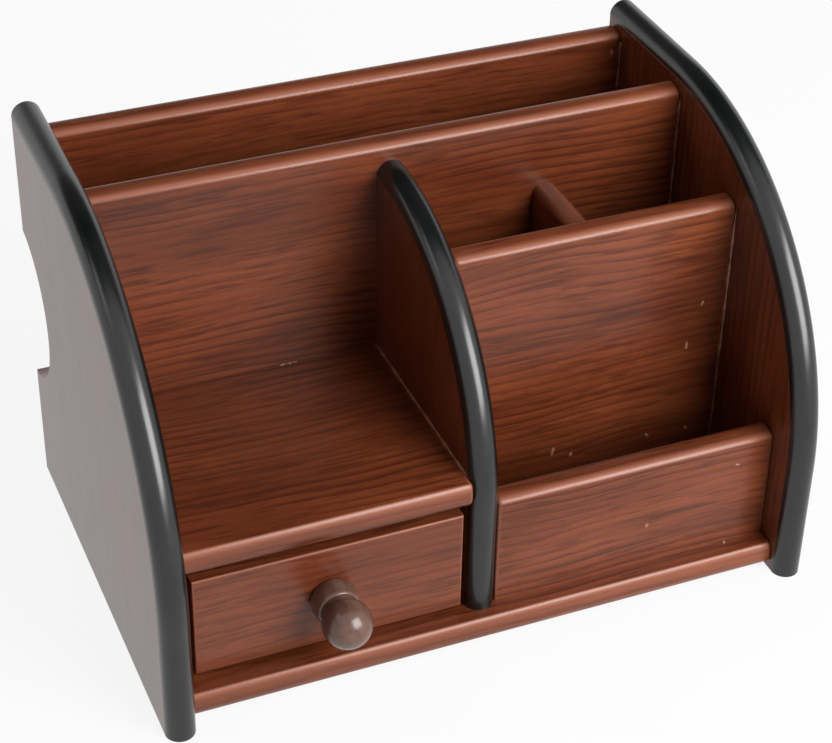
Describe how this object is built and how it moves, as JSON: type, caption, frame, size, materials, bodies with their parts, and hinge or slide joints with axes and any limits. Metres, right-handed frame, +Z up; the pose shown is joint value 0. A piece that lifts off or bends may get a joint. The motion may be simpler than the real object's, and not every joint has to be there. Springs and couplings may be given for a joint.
{
  "type": "pen stand with drawer",
  "caption": "Desk organiser of wood-pattern boards between curved black-edged sides, with a letter slot, pen bays, a shelf, a low front tray and a sliding drawer with a round knob.",
  "frame": {"origin": "on the desk, under the middle of the bounding box (the drawer's knob counts in the depth)", "axes": "+Z up, -Y towards the front with the drawer's knob, +X to the right of someone who looks at the front"},
  "size_m": [0.24, 0.169, 0.157],
  "materials": {
    "rosewood_board": "semi-gloss rosewood-pattern film on board",
    "rosewood_drawer": "semi-gloss rosewood-pattern film on board, lighter on the front",
    "black_edging": "glossy black",
    "drawer_box_wood": "plain light board, matt",
    "knob_lacquer": "dark brown high-gloss lacquer",
    "screw_steel": "zinc-plated",
    "dowel_wood": "plain beech"
  },
  "bodies": {
    "frame": {"side_left": "rosewood_board", "side_right": "rosewood_board", "divider": "rosewood_board", "side_trim_left": "black_edging", "side_trim_right": "black_edging", "divider_trim": "black_edging", "base_board": "rosewood_board", "back_panel": "rosewood_board", "middle_panel": "rosewood_board", "pen_panel": "rosewood_board", "front_panel": "rosewood_board", "pen_partition": "rosewood_board", "shelf": "rosewood_board", "dowels": "dowel_wood"},
    "drawer": {"drawer_front": "rosewood_drawer", "drawer_side_left": "drawer_box_wood", "drawer_side_right": "drawer_box_wood", "drawer_back": "drawer_box_wood", "drawer_bottom": "drawer_box_wood", "drawer_knob": "knob_lacquer", "knob_screw": "screw_steel"}
  },
  "joints": [
    {"name": "drawer_slide", "type": "slide", "parent": "frame", "child": "drawer", "axis": [0, -1, 0], "range_m": [0, 0.065]}
  ]
}
